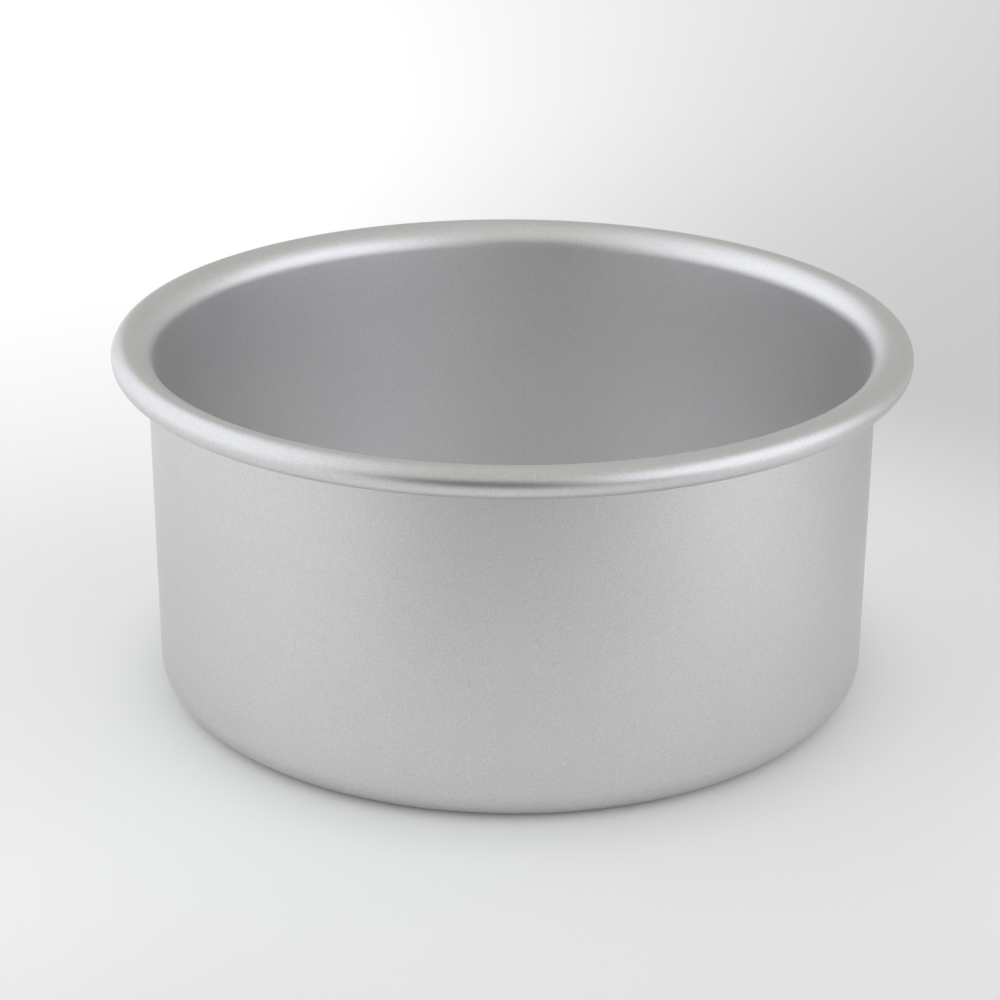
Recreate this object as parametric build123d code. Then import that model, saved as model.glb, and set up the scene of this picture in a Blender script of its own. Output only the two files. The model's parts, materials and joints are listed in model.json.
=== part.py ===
from build123d import *
import os

# Round cake tin, drawn in one piece from a disc of aluminium sheet: a flat base, a rounded
# base corner, a straight wall, a flare that turns the wall outwards, and a hollow curl that
# hides the sheet's cut edge under the rim. Nothing is welded, riveted or clipped on.
#
# Millimetres, +Z up. The origin is the middle of the base's underside, on the table.

# Driving sizes
inner_diameter = 152.4      # across the straight wall, inside
inner_depth = 76.2          # from the inside of the base up to the crest of the rim
sheet = 1.2                 # thickness of the metal everywhere
base_corner_radius = 5.0    # inside corner between base and wall, the nose of the drawing punch
curl_radius = 3.1           # outside of the rolled edge
curl_gap = 1.3              # air between the rolled edge and the wall beside it
curl_wrap = 250             # degrees that the edge is rolled, from the crest round to the cut

# Sizes that follow
inner_radius = inner_diameter / 2
overall_height = inner_depth + sheet
flare_radius = sheet + curl_gap + curl_radius

# Centres of the three bends, as (distance from the axis, height)
corner_centre = (inner_radius - base_corner_radius, sheet + base_corner_radius)
flare_centre = (inner_radius + flare_radius, overall_height - flare_radius)
curl_centre = (inner_radius + flare_radius, overall_height - curl_radius)


def skin(depth):
    """One skin of the sheet, from the axis out to the cut edge.

    depth is how far the skin lies behind the face that touches the cake: zero for that
    face itself, and the sheet's thickness for the outside. The bends stay concentric.
    """
    corner = CenterArc(corner_centre, base_corner_radius + depth, -90, 90)
    flare = CenterArc(flare_centre, flare_radius - depth, 180, -90)
    curl = CenterArc(curl_centre, curl_radius - depth, 90, -curl_wrap)
    base = Line((0, sheet - depth), corner @ 0)
    wall = Line(corner @ 1, flare @ 0)
    return [base, corner, wall, flare, curl]


def sheet_section():
    """The sheet cut through on one side of the axis, standing in the XZ plane."""
    cake_side = skin(0)
    outside = skin(sheet)
    cut_edge = Line(cake_side[-1] @ 1, outside[-1] @ 1)
    on_axis = Line(cake_side[0] @ 0, outside[0] @ 0)
    return Plane.XZ * make_face(cake_side + outside + [cut_edge, on_axis])


def drawn_tin():
    """The whole tin: the sheet's section turned once round the axis."""
    return revolve(sheet_section(), Axis.Z)


tin = drawn_tin()
tin.label = "tin_body"

os.makedirs("parts", exist_ok=True)
export_step(tin, "parts/tin_body.step")

rim_diameter = 2 * (curl_centre[0] + curl_radius)
print(f"tin_body: {rim_diameter:.1f} mm across the rim, {overall_height:.1f} mm high")
print(f"metal: {tin.volume / 1000:.1f} cm3")
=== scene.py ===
# %% [markdown]
# A round cake tin in satin aluminium
#
# This lesson dresses a cake tin, 6 inches across and 3 inches deep inside. The real tin is one
# piece of metal: a disc of aluminium sheet that a press draws into a cup, whose edge is then
# turned outwards and rolled under into a hollow curl. After that it is etched and anodised,
# which leaves the whole surface, inside and out, with one soft grey sheen.
#
# So there is a single piece to model and a single finish to get right. With so little to look
# at, the tin stands or falls by its rim, by the grain of the metal, and by the light.

# %% Load the tin that the workshop drew
import json
import math

import bmesh
import bpy
from mathutils import Euler, Matrix, Vector


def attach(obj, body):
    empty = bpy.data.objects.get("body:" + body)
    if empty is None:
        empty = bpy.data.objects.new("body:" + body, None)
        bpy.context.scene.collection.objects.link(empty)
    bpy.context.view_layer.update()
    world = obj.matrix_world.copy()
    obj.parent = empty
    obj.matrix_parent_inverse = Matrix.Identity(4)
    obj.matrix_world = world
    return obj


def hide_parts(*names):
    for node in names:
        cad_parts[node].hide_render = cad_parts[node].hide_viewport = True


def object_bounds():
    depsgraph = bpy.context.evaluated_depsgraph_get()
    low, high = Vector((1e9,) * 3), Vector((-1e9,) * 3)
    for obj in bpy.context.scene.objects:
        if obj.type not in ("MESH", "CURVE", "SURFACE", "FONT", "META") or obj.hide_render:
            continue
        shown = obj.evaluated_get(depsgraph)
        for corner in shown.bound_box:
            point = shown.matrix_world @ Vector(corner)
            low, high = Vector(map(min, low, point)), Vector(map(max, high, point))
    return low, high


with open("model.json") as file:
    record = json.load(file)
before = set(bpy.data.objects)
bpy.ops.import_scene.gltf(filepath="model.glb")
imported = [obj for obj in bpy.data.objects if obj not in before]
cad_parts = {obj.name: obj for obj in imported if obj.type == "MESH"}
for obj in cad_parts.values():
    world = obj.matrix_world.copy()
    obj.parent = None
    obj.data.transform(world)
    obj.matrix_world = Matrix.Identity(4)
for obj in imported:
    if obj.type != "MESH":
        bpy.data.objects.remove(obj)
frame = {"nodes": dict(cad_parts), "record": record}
cad_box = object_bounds()
print("solids in the frame:", sorted(frame["nodes"]))

# %% [markdown]
# Sizes
#
# The frame holds the tin at its real size, so the big sizes are read from it and not typed
# again: the height and the width over the rim come from its box, the inner radius from the
# straight bore that a cake or a liner slides into, and the thickness of the sheet from the
# height of the inside of the base. Only the bends need numbers of their own.
#
# The rim is two bends, one after the other. The flare carries the wall outwards round a large
# radius, and the curl then rolls the edge back under round a small one. Across the rim there
# is room for the sheet, the air gap beside the wall and twice the curl's radius, which gives
# the curl's radius from the width.

# %% Work out the sizes
mm = 0.001
cm = 10 * mm
mounts = {mount["name"]: mount for mount in frame["record"]["mounts"]}
inner_radius = mounts["cavity"]["dims"]["r_mm"] * mm
sheet = mounts["inside_base"]["pos_m"][2]
rim_radius = cad_box[1].x
height = cad_box[1].z

base_corner_radius = 5.0 * mm
curl_gap = 1.3 * mm
curl_wrap = math.radians(250)
curl_radius = (rim_radius - inner_radius - sheet - curl_gap) / 2
flare_radius = sheet + curl_gap + curl_radius
print(f"inside {2 * inner_radius / mm:.1f} mm across, sheet {sheet / mm:.1f} mm")
print(f"outside {2 * rim_radius / mm:.1f} mm across the rim, {height / mm:.1f} mm high")
print(f"flare radius {flare_radius / mm:.2f} mm, curl radius {curl_radius / mm:.2f} mm")

# %% [markdown]
# The line of the sheet
#
# A drawn tin could be made from a cylinder with its edges bevelled, but a bevel gives every
# edge the same kind of rounding, and it can't roll the rim past the vertical. It could also be
# a curve with a thickness, but then the thickness isn't exact. The way that is closest to the
# press is a line: the face of the sheet that touches the cake, followed from the middle of the
# base out to the cut edge. Everything else in the shape follows from that one line.
#
# Bends get a point every few degrees, because that is where the light changes fastest. Flats
# get a point every few millimetres. They would need none for their shape, but smooth shading
# blends the direction of the surface across each face, and on one long face the bend beside it
# would seem to start in the middle of the wall.

# %% Two helpers for the line
bend_step = math.radians(5)
flat_step = 5 * mm


def bend(centre, radius, start, turn):
    """Points round a bend, both ends included, as (distance from the axis, height)."""
    steps = math.ceil(abs(turn) / bend_step)
    angles = [start + turn * step / steps for step in range(steps + 1)]
    return [(centre[0] + radius * math.cos(a), centre[1] + radius * math.sin(a)) for a in angles]


def between(start, end):
    """Points along a straight stretch, both ends left out."""
    steps = math.ceil(math.dist(start, end) / flat_step)
    shares = [step / steps for step in range(1, steps)]
    return [(start[0] + (end[0] - start[0]) * s, start[1] + (end[1] - start[1]) * s) for s in shares]


# %% Follow the sheet from the axis to its cut edge
quarter = math.radians(90)
full_turn = 4 * quarter
corner_centre = (inner_radius - base_corner_radius, sheet + base_corner_radius)
flare_centre = (inner_radius + flare_radius, height - flare_radius)
curl_centre = (inner_radius + flare_radius, height - curl_radius)

middle = (0, sheet)
corner = bend(corner_centre, base_corner_radius, -quarter, quarter)
flare = bend(flare_centre, flare_radius, 2 * quarter, -quarter)
curl = bend(curl_centre, curl_radius, quarter, -curl_wrap)
base = [middle] + between(middle, corner[0])
wall = between(corner[-1], flare[0])
sheet_line = base + corner + wall + flare + curl[1:]
print(f"the line has {len(sheet_line)} points")

# %% [markdown]
# From the line to the metal
#
# Three modifiers make the metal from the line, one after the other. Screw carries the line once
# round the axis, which gives the cup as a skin with no thickness. Solidify grows that skin away
# from the cake by exactly the thickness of the sheet, so the bends stay concentric, as they do
# in real sheet. Bevel then takes the sharpness off the cut edge inside the curl. Nothing else
# on the tin is sharp enough for it to touch.

# %% Spin the line, thicken it and deburr the cut edge
steps_round = 240
merge_distance = 0.001 * mm
away_from_cake = -1
deburr = 0.3 * mm
deburr_steps = 3
sharp_edge = math.radians(60)

line_mesh = bpy.data.meshes.new("tin_shell")
line_mesh.from_pydata(
    [(radius, 0, z) for radius, z in sheet_line],
    [(i, i + 1) for i in range(len(sheet_line) - 1)],
    [],
)
tin = bpy.data.objects.new("tin_shell", line_mesh)
bpy.context.scene.collection.objects.link(tin)

spin = tin.modifiers.new("spin", "SCREW")
spin.axis = "Z"
spin.angle = full_turn
spin.steps = steps_round
spin.render_steps = steps_round
spin.use_merge_vertices = True
spin.merge_threshold = merge_distance
spin.use_smooth_shade = True

thicken = tin.modifiers.new("thicken", "SOLIDIFY")
thicken.thickness = sheet
thicken.offset = away_from_cake
thicken.use_even_offset = True

soften = tin.modifiers.new("deburr", "BEVEL")
soften.width = deburr
soften.segments = deburr_steps
soften.limit_method = "ANGLE"
soften.angle_limit = sharp_edge

# %% Turn the modifiers into one mesh and measure it
bpy.context.view_layer.update()
graph = bpy.context.evaluated_depsgraph_get()
finished = bpy.data.meshes.new_from_object(tin.evaluated_get(graph))
tin.modifiers.clear()
tin.data = finished
finished.name = "tin_shell"

check = bmesh.new()
check.from_mesh(finished)
open_edges = sum(not edge.is_manifold for edge in check.edges)
volume = check.calc_volume(signed=True)
check.free()
print(f"{len(finished.polygons)} faces, {open_edges} open edges, {volume / cm ** 3:.1f} cm3 of metal")
low = [min(v.co[axis] for v in finished.vertices) / mm for axis in range(3)]
high = [max(v.co[axis] for v in finished.vertices) / mm for axis in range(3)]
print("from", [round(x, 2) for x in low], "to", [round(x, 2) for x in high], "mm")

# %% [markdown]
# The satin finish
#
# Etched and anodised aluminium isn't a mirror and isn't paint. It is bare metal under a clear
# skin of oxide, roughened so finely that single pits can only just be seen as a grain. Paint
# would be a colour with a gloss on top. Metal has no colour of its own underneath: all its
# light is reflection, so the shader is fully metallic, and a roughness of about two fifths
# smears what it reflects into broad soft bands. Metal also brightens where it is seen at a
# glancing angle. In an etched skin the pits shade each other there, so the edge tint holds
# some of that back.
#
# The finish is built in layers, each of them so weak that it is felt more than seen: a grain
# as fine as table salt, a clouding as wide as a thumb, faint rings round the wall from the
# draw, a few dark specks, and a little polish where hands and shelves rub. They are all made
# from the place of each point on the tin, so they need no unwrapping.

# %% Helpers for building nodes
def add(tree, kind, **settings):
    """A new node with its settings."""
    made = tree.nodes.new(kind)
    for name, value in settings.items():
        setattr(made, name, value)
    return made


def feed(tree, socket, source):
    """Gives a socket either a fixed value or the output of another node."""
    if isinstance(source, bpy.types.NodeSocket):
        tree.links.new(source, socket)
    else:
        socket.default_value = source


def sum_up(tree, operation, *sources):
    """One step of arithmetic on single numbers."""
    made = add(tree, "ShaderNodeMath", operation=operation)
    for socket, source in zip(made.inputs, sources):
        feed(tree, socket, source)
    return made.outputs[0]


def remap(tree, source, old, new, smooth=False):
    """Carries the range old over to the range new and holds it at the ends."""
    made = add(tree, "ShaderNodeMapRange", interpolation_type="SMOOTHSTEP" if smooth else "LINEAR")
    names = ("Value", "From Min", "From Max", "To Min", "To Max")
    for name, value in zip(names, (source, *old, *new)):
        feed(tree, made.inputs[name], value)
    return made.outputs["Result"]


def noise(tree, place, size, detail=2.0):
    """Cloudy noise whose blotches are about size metres across, from 0 to 1."""
    made = add(tree, "ShaderNodeTexNoise")
    feed(tree, made.inputs["Vector"], place)
    made.inputs["Scale"].default_value = 1 / size
    made.inputs["Detail"].default_value = detail
    return made.outputs["Fac"]


# %% Start the metal
metal_colour = (0.665, 0.661, 0.669, 1)
edge_tint = (0.93, 0.93, 0.93, 1)

satin = bpy.data.materials.new("satin_aluminium")
satin.use_nodes = True
metal = satin.node_tree
shader = metal.nodes["Principled BSDF"]
shader.inputs["Metallic"].default_value = 1
shader.inputs["Specular Tint"].default_value = edge_tint
place = add(metal, "ShaderNodeTexCoord").outputs["Object"]
axes = add(metal, "ShaderNodeSeparateXYZ")
feed(metal, axes.inputs[0], place)
level = axes.outputs["Z"]
print("metal colour", metal_colour[:3])

# %% [markdown]
# Grain and clouding
#
# The grain is noise with blotches a third of a millimetre across. It changes the brightness of
# the metal by a few hundredths in most places and raises the surface by a few microns. The
# clouding is wider and weaker, and it moves the roughness too, since an etch bath never bites
# evenly. Noise keeps near its middle and seldom comes close to 0 or 1, so each layer stretches
# the range that the noise mostly fills over the layer's full strength.

# %% Make the grain and the clouding
grain_size = 0.3 * mm
grain_strength = 0.135
grain_depth = 0.004 * mm
grain_range = (0.2, 0.8)
cloud_size = 18 * mm
cloud_strength = 0.012
cloud_roughness = 0.015
usual_range = (0.3, 0.7)

grain = noise(metal, place, grain_size)
clouds = noise(metal, place, cloud_size, detail=3.0)
grain_light = remap(metal, grain, grain_range, (-grain_strength, grain_strength))
cloud_light = remap(metal, clouds, usual_range, (-cloud_strength, cloud_strength))
cloud_gloss = remap(metal, clouds, usual_range, (-cloud_roughness, cloud_roughness))
print(f"grain {grain_size / mm} mm, clouding {cloud_size / mm} mm")

# %% [markdown]
# Rings from the draw
#
# As the punch pulls the disc through the die, the wall slides past it and keeps faint rings at
# uneven heights. Noise that only knows the height gives them. They fade out on the flat base,
# where nothing slid, because there the height doesn't change.

# %% Make the rings
ring_size = 4 * mm
ring_strength = 0.006

height_only = add(metal, "ShaderNodeCombineXYZ")
feed(metal, height_only.inputs["Z"], level)
rings = noise(metal, height_only.outputs[0], ring_size)
ring_light = remap(metal, rings, usual_range, (-ring_strength, ring_strength))
print(f"rings about {ring_size / mm} mm apart")

# %% [markdown]
# Specks
#
# Anodising shows up the odd inclusion in the sheet as a dark pinprick. A pattern of cells gives
# one point to each cell, and only the cells with the lowest random numbers keep theirs.

# %% Make the specks
speck_spacing = 6 * mm
speck_radius = 0.16 * mm
speck_share = 0.12
speck_depth = 0.12

cells = add(metal, "ShaderNodeTexVoronoi", feature="F1")
feed(metal, cells.inputs["Vector"], place)
cells.inputs["Scale"].default_value = 1 / speck_spacing
near_point = remap(metal, cells.outputs["Distance"], (0, speck_radius / speck_spacing), (1, 0))
chance = add(metal, "ShaderNodeSeparateColor")
feed(metal, chance.inputs[0], cells.outputs["Color"])
kept = sum_up(metal, "LESS_THAN", chance.outputs["Red"], speck_share)
speck_light = sum_up(metal, "MULTIPLY", sum_up(metal, "MULTIPLY", near_point, kept), -speck_depth)
print(f"a speck in {speck_share:.0%} of the cells, each {speck_spacing / mm} mm wide")

# %% [markdown]
# How smooth each place is
#
# The same etch takes differently where tools have pressed the metal first. The die irons the
# outside of the wall, and the roller that turns the rim burnishes it, so the rim shows narrower
# highlights than the wall below it. Nothing rubs the inside, so it is made the most matt. Its
# colour also carries painted light: it is made 16 to 24% paler than the outside, most of all
# low down, for light inside the tin that this scene doesn't bring there. A real sheet is
# usually alike on both faces.
#
# The tin could be cut into two materials along the crest, but that would leave a seam where
# the real finish changes slowly. One shader can do it all, because the place of a point tells
# which face of the sheet it is on. The cake side is whatever lies nearer to the tin's middle
# than the centre of the sheet does: measured straight out on the wall, straight down on the
# base, and from the centre of the bend round the corner. On the flare the inside's finish
# fades into the rim's before it comes to the crest.

# %% Tell the cake side from the outside
def gap_past(tree, value, limit):
    """How far a value lies past a limit, and zero before it."""
    return sum_up(tree, "MAXIMUM", sum_up(tree, "SUBTRACT", value, limit), 0)


def length_of(tree, x, y):
    """The length of a step of x one way and y square to it."""
    both = add(tree, "ShaderNodeCombineXYZ")
    feed(tree, both.inputs["X"], x)
    feed(tree, both.inputs["Y"], y)
    measured = add(tree, "ShaderNodeVectorMath", operation="LENGTH")
    feed(tree, measured.inputs[0], both.outputs[0])
    return measured.outputs["Value"]


flare_start = height - flare_radius
from_axis = length_of(metal, axes.outputs["X"], axes.outputs["Y"])
outwards = gap_past(metal, from_axis, corner_centre[0])
downwards = gap_past(metal, sum_up(metal, "MULTIPLY", level, -1), -corner_centre[1])
from_corners = length_of(metal, outwards, downwards)
cake_side = sum_up(metal, "LESS_THAN", from_corners, base_corner_radius + sheet / 2)
on_flare = sum_up(metal, "GREATER_THAN", level, flare_start)
print(f"the flare starts {flare_start / mm:.1f} mm up")

# %% Blend the three degrees of roughness
inside_roughness = 0.43
outside_roughness = 0.41
rim_roughness = 0.34
rim_rise_share = 0.4
gloss_fade_shares = (0.2, 0.8)

rim_rise = (flare_start - sheet, flare_start + rim_rise_share * flare_radius)
gloss_fade = tuple(inner_radius + part * flare_radius for part in gloss_fade_shares)


def up_the_flare(fade):
    """1 on the cake side, and fading to 0 between two distances from the axis on the flare."""
    fading = remap(metal, from_axis, fade, (1, 0), smooth=True)
    return sum_up(metal, "MAXIMUM", cake_side, sum_up(metal, "MULTIPLY", on_flare, fading))


outer_roughness = remap(metal, level, rim_rise, (outside_roughness, rim_roughness), smooth=True)
to_inside = sum_up(metal, "SUBTRACT", inside_roughness, outer_roughness)
inside_share = sum_up(metal, "MULTIPLY", up_the_flare(gloss_fade), to_inside)
base_gloss = sum_up(metal, "ADD", outer_roughness, inside_share)
print(f"roughness {inside_roughness} inside, {outside_roughness} outside, {rim_roughness} on the rim")

# %% Paint light into the inside of the tin
# Painted light: the inside gets a paler colour, most of all low down, for light inside the tin that
# the scene doesn't bring there.
low_painted_light = 0.24
high_painted_light = 0.16
painted_light_low_share = 0.4
painted_light_fade_share = 0.75

painted_light_heights = (painted_light_low_share * height, flare_start)
painted_light_fade = (inner_radius, inner_radius + painted_light_fade_share * flare_radius)
painted_light_by_height = remap(metal, level, painted_light_heights, (low_painted_light, high_painted_light))
painted_inside_light = sum_up(metal, "MULTIPLY", up_the_flare(painted_light_fade), painted_light_by_height)
print(f"the inside is {low_painted_light:.0%} paler low down and {high_painted_light:.0%} paler under the rim")

# %% [markdown]
# Wear
#
# A tin is carried by its rim and pushed about on its base, so the crest of the rim and the ring
# that it stands on are a little smoother than the rest, and the crest is a trace brighter.
# Both places are found by height alone: the last millimetre or so at the top, and the first
# half millimetre at the bottom. Patches of noise make the polish uneven.

# %% Make the wear
crest_band = 1.2 * mm
base_band = 0.5 * mm
patch_size = 6 * mm
patch_range = (0.35, 0.65)
least_wear = 0.4
crest_shine = 0.02
polish = 0.05

crest_wear = remap(metal, level, (height - crest_band, height), (0, 1), smooth=True)
base_wear = remap(metal, level, (0, base_band), (1, 0), smooth=True)
patchy = remap(metal, noise(metal, place, patch_size), patch_range, (least_wear, 1))
wear = sum_up(metal, "MULTIPLY", sum_up(metal, "MAXIMUM", crest_wear, base_wear), patchy)
wear_light = sum_up(metal, "MULTIPLY", crest_wear, crest_shine)
wear_gloss = sum_up(metal, "MULTIPLY", wear, -polish)
print(f"wear on the top {crest_band / mm} mm and the bottom {base_band / mm} mm")

# %% Put the layers together
# Besides the real marks of the finish, this sum carries the painted light inside the tin.
brightness = sum_up(metal, "ADD", grain_light, 1)
for layer in (cloud_light, ring_light, speck_light, wear_light, painted_inside_light):
    brightness = sum_up(metal, "ADD", brightness, layer)
tinted = add(metal, "ShaderNodeVectorMath", operation="SCALE")
tinted.inputs[0].default_value = metal_colour[:3]
feed(metal, tinted.inputs["Scale"], brightness)
feed(metal, shader.inputs["Base Color"], tinted.outputs[0])

gloss = sum_up(metal, "ADD", cloud_gloss, wear_gloss)
feed(metal, shader.inputs["Roughness"], sum_up(metal, "ADD", gloss, base_gloss))

pits = add(metal, "ShaderNodeBump")
pits.inputs["Strength"].default_value = 1
pits.inputs["Distance"].default_value = grain_depth
feed(metal, pits.inputs["Height"], grain)
feed(metal, shader.inputs["Normal"], pits.outputs["Normal"])
print(f"the finish has {len(metal.nodes)} nodes")

# %% Dress the tin
tin.data.materials.clear()
tin.data.materials.append(satin)
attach(tin, "root")
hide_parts("tin_body")
print(tin.name, "stands for tin_body and rides on root")

# %% [markdown]
# Patches of light and shade
#
# Everything round the tin is made of round patches with wide soft edges, on the paper as well
# as in the room, because nothing in a well lit studio has a hard edge to mirror. A patch is
# given by the direction of its middle as seen from the tin. The dot product of two directions
# is the cosine of the angle between them, and that is all it takes to know how far into a
# patch a point lies. Painted pictures of a room would do the same, but a patch is easier to
# move.

# %% Helpers for directions and patches
def towards(azimuth, elevation):
    """The direction from the tin to a place in the room. Azimuth 0 is the camera's side, and
    it grows to the right. Both are in degrees."""
    around, up = math.radians(azimuth), math.radians(elevation)
    return Vector((math.sin(around) * math.cos(up), -math.cos(around) * math.cos(up), math.sin(up)))


def disc(tree, direction, centre, whole, edge):
    """1 within whole degrees of the centre, and fading to 0 at edge degrees from it."""
    facing = add(tree, "ShaderNodeVectorMath", operation="DOT_PRODUCT")
    feed(tree, facing.inputs[0], direction)
    facing.inputs[1].default_value = centre
    limits = (math.cos(math.radians(edge)), math.cos(math.radians(whole)))
    return remap(tree, facing.outputs["Value"], limits, (0, 1), smooth=True)


# %% [markdown]
# The floor
#
# A product photographer stands a tin on pale paper. The floor is a wide disc of it, matt and
# nearly white, so the tin's soft shadow shows, and so the wall has something bright to reflect
# from below. Far out it fades away into the light of the room, so that no hard line shows
# where the paper ends.

# %% Lay the floor
paper_radius = 2.5
paper_corners = 96
paper_drop = 0.1 * mm

turns = [full_turn * step / paper_corners for step in range(paper_corners)]
edge_points = [(paper_radius * math.cos(a), paper_radius * math.sin(a), 0) for a in turns]
floor_mesh = bpy.data.meshes.new("paper_floor")
floor_mesh.from_pydata(edge_points, [], [range(paper_corners)])
floor = bpy.data.objects.new("paper_floor", floor_mesh)
bpy.context.scene.collection.objects.link(floor)
floor.location.z = -paper_drop
print(f"paper {2 * paper_radius:.0f} m across")

# %% [markdown]
# The grading of the paper
#
# Real paper is brightest beside the panels and darkens towards the open side of the tent,
# and the wall of the tin mirrors all of that. Lamps could light the paper so, but they would
# light the tin as well. Here that shade is painted into the colour of the paper instead. The
# painted shade starts even at the foot of the tin, darkens the paper by up to three quarters
# towards the camera, mostly below the edge of the picture, and by up to a third behind the tin
# on the right. Each patch is given by its direction, by how far out its change begins and is
# complete, in metres, and by the change.
#
# Beside the panels the paper glows a little too, for the camera and for whatever mirrors it.
# That makes the background whiter and puts no lamp on the tin. The glow fades out at the foot
# of the tin, so the shadow that grounds it stays dark.

# %% Grade the paper
paper_white = 0.95
camera_shade = {
    "centre": towards(7, 0), "whole": 5, "edge": 54,
    "near": 0.05, "far": 0.49, "change": -0.72,
}
corner_shade = {
    "centre": towards(132, 0), "whole": 10, "edge": 65,
    "near": 0.07, "far": 0.22, "change": -0.34,
}

paper = bpy.data.materials.new("pale_paper")
paper.use_nodes = True
paper_tree = paper.node_tree
paper_tree.nodes.clear()
on_paper = add(paper_tree, "ShaderNodeTexCoord").outputs["Object"]
way_out = add(paper_tree, "ShaderNodeVectorMath", operation="NORMALIZE")
feed(paper_tree, way_out.inputs[0], on_paper)
measured_out = add(paper_tree, "ShaderNodeVectorMath", operation="LENGTH")
feed(paper_tree, measured_out.inputs[0], on_paper)
how_far = measured_out.outputs["Value"]


def graded(start, patches):
    """The start value and what each patch adds to it in its own direction: nothing up to near
    metres out from the tin's middle, and all of its change from far on."""
    total = start
    for patch in patches:
        sector = disc(paper_tree, way_out.outputs[0], patch["centre"], patch["whole"], patch["edge"])
        reach = (patch["near"], patch["far"])
        change = remap(paper_tree, how_far, reach, (0, patch["change"]), smooth=True)
        total = sum_up(paper_tree, "ADD", sum_up(paper_tree, "MULTIPLY", sector, change), total)
    return total


# Painted shade: the paper's colour darkens towards the camera and behind the tin on the right.
share = graded(1, (camera_shade, corner_shade))
matt = add(paper_tree, "ShaderNodeBsdfDiffuse")
feed(paper_tree, matt.inputs["Color"], sum_up(paper_tree, "MULTIPLY", share, paper_white))
print(f"the paper is {paper_white:.0%} white at the foot of the tin")

# %% Paint a glow of light onto the paper beside the panels
painted_glow_base = 0.095
foot_width = 20 * mm
left_pool = {
    "centre": towards(-120, 0), "whole": 10, "edge": 100,
    "near": 0.06, "far": 0.55, "change": 0.27,
}
right_pool = {
    "centre": towards(75, 0), "whole": 10, "edge": 70,
    "near": 0.08, "far": 0.60, "change": 0.28,
}

path = add(paper_tree, "ShaderNodeLightPath")
seen = sum_up(paper_tree, "MAXIMUM", path.outputs["Is Camera Ray"], path.outputs["Is Glossy Ray"])
seen = sum_up(paper_tree, "MAXIMUM", seen, path.outputs["Is Transmission Ray"])
foot = (inner_radius - base_corner_radius, inner_radius + foot_width)
# Painted light: the paper glows for the camera and for reflections, more beside the panels, and not
# at the tin's foot.
clear_of_foot = remap(paper_tree, how_far, foot, (0, painted_glow_base), smooth=True)
painted_glow = graded(sum_up(paper_tree, "MULTIPLY", share, clear_of_foot), (left_pool, right_pool))
glow = add(paper_tree, "ShaderNodeEmission")
feed(paper_tree, glow.inputs["Strength"], sum_up(paper_tree, "MULTIPLY", painted_glow, seen))
lit = add(paper_tree, "ShaderNodeAddShader")
feed(paper_tree, lit.inputs[0], matt.outputs[0])
feed(paper_tree, lit.inputs[1], glow.outputs[0])
print(f"the paper glows by {painted_glow_base}, and by {left_pool['change']} more out to the left")

# %% Fade the paper out far away
fade_start = 0.6
fade_end = 2.4

clear = add(paper_tree, "ShaderNodeBsdfTransparent")
faded = remap(paper_tree, how_far, (fade_start, fade_end), (0, 1), smooth=True)
blend = add(paper_tree, "ShaderNodeMixShader")
feed(paper_tree, blend.inputs["Fac"], faded)
feed(paper_tree, blend.inputs[1], lit.outputs[0])
feed(paper_tree, blend.inputs[2], clear.outputs[0])
feed(paper_tree, add(paper_tree, "ShaderNodeOutputMaterial").inputs["Surface"], blend.outputs[0])
floor_mesh.materials.append(paper)
print(f"the paper fades out from {fade_start} to {fade_end} m")

# %% [markdown]
# The light
#
# Metal shows its surroundings, so the room is drawn first and lamps come out of it. Lamps of a
# normal size would leave hard bright bars on the rim. A tent of cloth with two big soft panels
# behind it is what such tins are photographed in, and the world shader can be that tent: for
# every direction it says how bright the cloth is there.
#
# Each panel is a patch of extra light. The left one is larger, and both are a trace cooler
# than the cloth between them, as lamps are beside the light of a room. Two more patches take
# light away. One is on the camera's own side, where the tent is open and a dark room shows
# through, and it draws the dark line along the front of the rim. The other is far weaker, and
# dims the tent behind the tin on the right.

# %% Hang the tent
cloth_grey = 0.65
cool_white = Vector((0.945, 1.0, 1.11))
warm_white = Vector((1.005, 1.0, 0.955))
left_panel = {"centre": towards(-102, 16), "whole": 30, "edge": 66, "strength": 0.59}
right_panel = {"centre": towards(67, 9), "whole": 24, "edge": 52, "strength": 0.71}
opening = {"centre": towards(-7, 0), "whole": 12, "edge": 38, "depth": 0.76}
dim_corner = {"centre": towards(150, 12), "whole": 10, "edge": 55, "depth": 0.07}

world = bpy.data.worlds.new("light_tent")
bpy.context.scene.world = world
world.use_nodes = True
tent = world.node_tree
direction = add(tent, "ShaderNodeTexCoord").outputs["Generated"]


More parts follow.
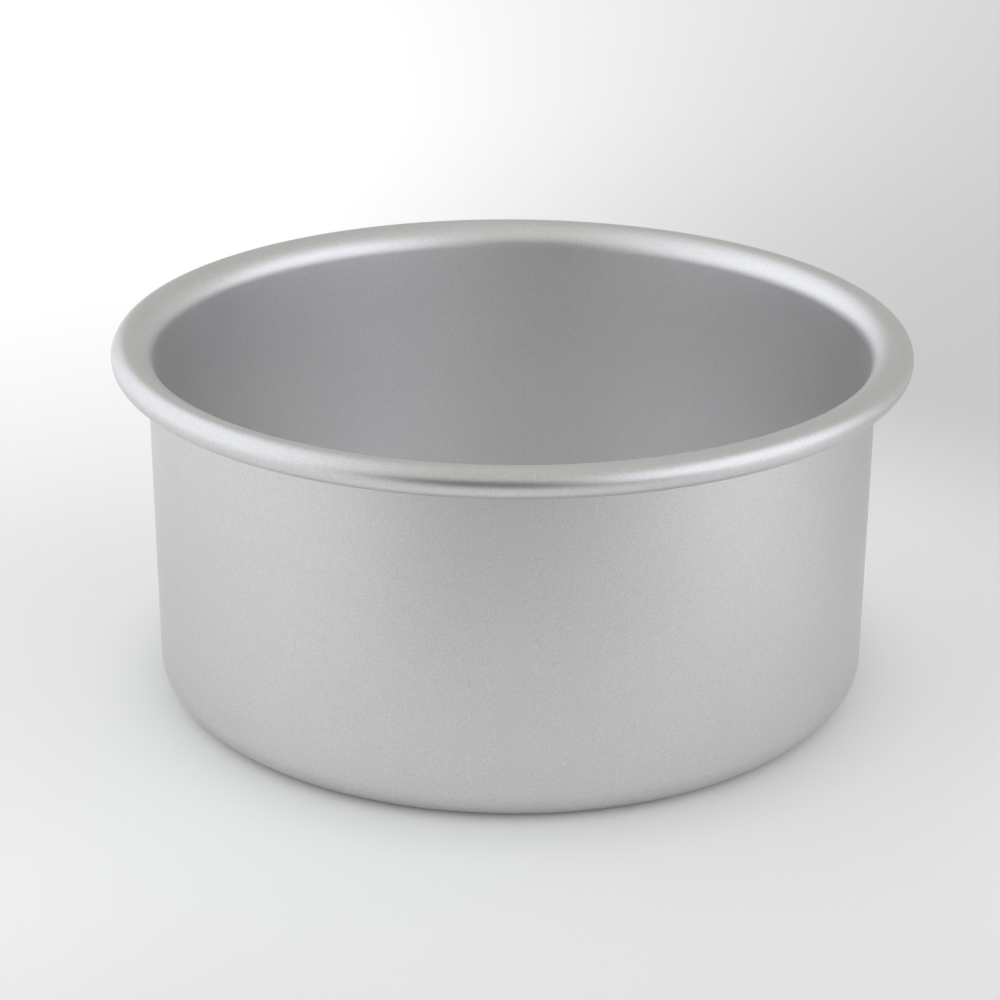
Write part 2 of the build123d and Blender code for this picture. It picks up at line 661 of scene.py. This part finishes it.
def scaled(colour, amount):
    """A colour times a number, either of them fixed or from a node."""
    made = add(tent, "ShaderNodeVectorMath", operation="SCALE")
    feed(tent, made.inputs[0], colour)
    feed(tent, made.inputs["Scale"], amount)
    return made.outputs[0]


light = scaled(warm_white, cloth_grey)
for panel in (left_panel, right_panel):
    shape = disc(tent, direction, panel["centre"], panel["whole"], panel["edge"])
    panel_light = scaled(cool_white, sum_up(tent, "MULTIPLY", shape, panel["strength"]))
    together = add(tent, "ShaderNodeVectorMath", operation="ADD")
    feed(tent, together.inputs[0], light)
    feed(tent, together.inputs[1], panel_light)
    light = together.outputs[0]
for gap in (opening, dim_corner):
    shape = disc(tent, direction, gap["centre"], gap["whole"], gap["edge"])
    light = scaled(light, remap(tent, shape, (0, 1), (1, 1 - gap["depth"])))
feed(tent, tent.nodes["Background"].inputs["Color"], light)
print(f"the tent has {len(tent.nodes)} nodes")

# %% [markdown]
# The camera
#
# The photograph looks down on the tin at 22 degrees from a little over half a metre, close
# enough for the near side of the rim to be plainly larger than the far side. The camera is
# placed on a sphere round a point inside the tin, and turned a quarter of a degree, because
# the photographer didn't hold it quite level.

# %% Place the camera
film_width = 36.0
camera_lens = 92.23
near_limit = 10 * mm
camera_distance = 0.5611
camera_elevation = math.radians(22.24)
camera_roll = math.radians(0.27)
aim = Vector((-2.45, 0, 37.38)) * mm

camera_data = bpy.data.cameras.new("camera")
camera_data.sensor_width = film_width
camera_data.lens = camera_lens
camera_data.clip_start = near_limit
camera = bpy.data.objects.new("camera", camera_data)
bpy.context.scene.collection.objects.link(camera)
backwards = Vector((0, -math.cos(camera_elevation), math.sin(camera_elevation)))
camera.location = aim + camera_distance * backwards
tilted = Euler((quarter - camera_elevation, 0, 0)).to_matrix()
camera.rotation_mode = "QUATERNION"
camera.rotation_quaternion = (tilted @ Matrix.Rotation(camera_roll, 3, "Z")).to_quaternion()
bpy.context.scene.camera = camera
bpy.context.scene.view_settings.view_transform = "Standard"
print("camera at", [round(x, 3) for x in camera.location])
